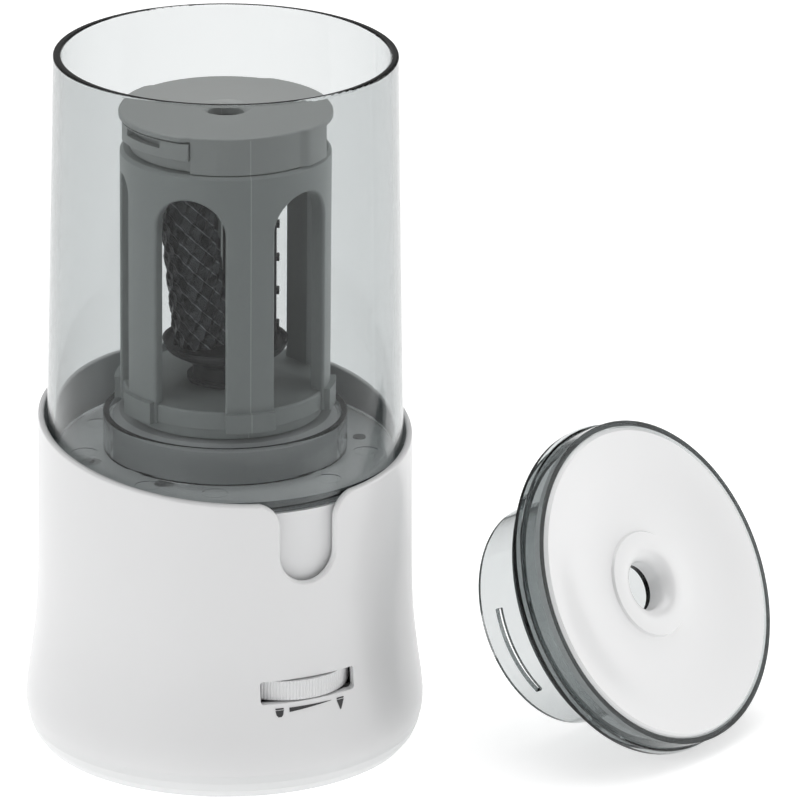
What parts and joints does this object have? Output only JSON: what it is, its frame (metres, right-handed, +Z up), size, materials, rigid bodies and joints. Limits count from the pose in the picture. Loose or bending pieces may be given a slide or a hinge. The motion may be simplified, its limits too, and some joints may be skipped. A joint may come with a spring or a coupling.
{
  "type": "pencil sharpener",
  "caption": "Electric desktop pencil sharpener with a leaning helical cutter in a windowed cage, a smoke-clear shavings container, a point-fineness dial and a lid lying off beside it.",
  "frame": {"origin": "middle of the underside of the body, on the surface it stands on", "axes": "+Z up along the pencil's axis, front of the body with the notch and dial towards -Y"},
  "size_m": [0.1811, 0.1234, 0.1755],
  "materials": {
    "white_gloss": "glossy white moulding",
    "white_plate": "satin white moulding",
    "white_inner": "matt white moulding",
    "dial_white": "ribbed white moulding",
    "lid_white": "high-gloss white moulding",
    "smoke_clear": "clear plastic with a light smoke tint",
    "cage_grey": "fine satin grey moulding",
    "cap_grey": "fine satin grey moulding",
    "dark_plastic": "dark moulding",
    "cutter_steel": "dark hardened steel",
    "gear_steel": "plated steel",
    "ring_plastic": "natural acetal",
    "bronze": "sintered bronze and brass",
    "black_rubber": "soft rubber",
    "symbol_grey": "printed grey",
    "motor_plastic": "black moulding",
    "magnet_dark": "ferrite and laminated iron",
    "cell_wrap": "plain cell sleeve",
    "board_green": "circuit laminate",
    "component_black": "component bodies",
    "wire_red": "insulated wire"
  },
  "bodies": {
    "base": {"base_shell": "white_gloss", "base_plate": "white_plate", "inner_tub": "white_inner", "drive_turret": "dark_plastic", "output_bush": "bronze", "rubber_feet": "black_rubber", "base_screws": "gear_steel", "dial_symbols": "symbol_grey", "motor_can": "gear_steel", "motor_end_cap": "motor_plastic", "motor_magnets": "magnet_dark", "gearbox_plate": "motor_plastic", "gearbox_screws": "gear_steel", "idler_axle": "gear_steel", "battery_case": "motor_plastic", "battery_cells": "cell_wrap", "battery_top_contacts": "gear_steel", "circuit_board": "board_green", "board_parts": "component_black", "start_switch": "component_black", "safety_switch": "component_black", "start_spring": "gear_steel", "safety_spring": "gear_steel", "lead_wires": "wire_red"},
    "container": {"container_wall": "smoke_clear", "container_floor": "smoke_clear", "floor_collar": "smoke_clear"},
    "lid": {"lid_ring": "smoke_clear", "lid_collar": "smoke_clear", "lid_dish": "lid_white"},
    "cutter_unit": {"cutter_cage": "cage_grey", "cage_cap": "cap_grey", "ring_gear": "ring_plastic"},
    "carrier": {"cutter_carrier": "dark_plastic", "carrier_cap": "dark_plastic", "cutter_axle": "gear_steel"},
    "cutter": {"helical_cutter": "cutter_steel", "cutter_pinion": "gear_steel"},
    "output_drive": {"output_gear": "ring_plastic", "drive_dog": "dark_plastic"},
    "idler": {"idler_gear": "ring_plastic"},
    "motor_rotor": {"motor_shaft": "gear_steel", "motor_pinion": "bronze", "motor_armature": "magnet_dark"},
    "dial": {"tip_dial": "dial_white"},
    "tip_stop": {"tip_stop_rod": "gear_steel", "tip_stop_arm": "dark_plastic"},
    "start_plunger": {"start_plunger": "motor_plastic"},
    "safety_plunger": {"safety_plunger": "motor_plastic"},
    "battery_door": {"battery_door": "white_plate", "door_contacts": "gear_steel"}
  },
  "joints": [
    {"name": "container_lift", "type": "slide", "parent": "base", "child": "container", "axis": [0, 0, 1], "range_m": [0, 0.11]},
    {"name": "lid_lift", "type": "slide", "parent": "base", "child": "lid", "axis": [0, 0, 1], "range_m": [0, 0.2]},
    {"name": "cutter_unit_lift", "type": "slide", "parent": "base", "child": "cutter_unit", "axis": [0, 0, 1], "range_m": [0, 0.1]},
    {"name": "carrier_spin", "type": "hinge", "parent": "cutter_unit", "child": "carrier", "pos_m": [0, 0, 0.1], "axis": [0, 0, 1], "continuous": true},
    {"name": "cutter_spin", "type": "hinge", "parent": "carrier", "child": "cutter", "pos_m": [-0.01348, -0.00374, 0.152], "axis": [-0.1258, -0.0349, 0.9914], "continuous": true},
    {"name": "output_spin", "type": "hinge", "parent": "base", "child": "output_drive", "pos_m": [0, 0, 0.068], "axis": [0, 0, 1], "continuous": true},
    {"name": "idler_spin", "type": "hinge", "parent": "base", "child": "idler", "pos_m": [-0.01301, 0.00516, 0.062], "axis": [0, 0, 1], "continuous": true},
    {"name": "motor_spin", "type": "hinge", "parent": "base", "child": "motor_rotor", "pos_m": [-0.022, -0.002, 0.04], "axis": [0, 0, 1], "continuous": true},
    {"name": "dial_turn", "type": "hinge", "parent": "base", "child": "dial", "pos_m": [0, -0.031, 0.028], "axis": [0, 0, 1], "range_deg": [-60, 60]},
    {"name": "tip_stop_slide", "type": "slide", "parent": "base", "child": "tip_stop", "axis": [0, 0, 1], "range_m": [-0.001, 0.001]},
    {"name": "start_press", "type": "slide", "parent": "base", "child": "start_plunger", "axis": [0, 0, 1], "range_m": [-0.0012, 0], "stiffness_N_per_m": 150, "springref_m": 0.001, "deforming": ["start_spring"]},
    {"name": "safety_press", "type": "slide", "parent": "base", "child": "safety_plunger", "axis": [0, 0, 1], "range_m": [-0.0015, 0], "stiffness_N_per_m": 40, "springref_m": 0.002, "deforming": ["safety_spring"]},
    {"name": "battery_door_slide", "type": "slide", "parent": "base", "child": "battery_door", "axis": [0, 1, 0], "range_m": [0, 0.038]}
  ],
  "couplings": [
    {"joint": "output_spin", "follows": "carrier_spin", "ratio": 1},
    {"joint": "idler_spin", "follows": "carrier_spin", "ratio": -3.6667},
    {"joint": "motor_spin", "follows": "carrier_spin", "ratio": 13.2},
    {"joint": "cutter_spin", "follows": "carrier_spin", "ratio": -3.5833},
    {"joint": "tip_stop_slide", "follows": "dial_turn", "m_per_rad": 0.000954}
  ]
}
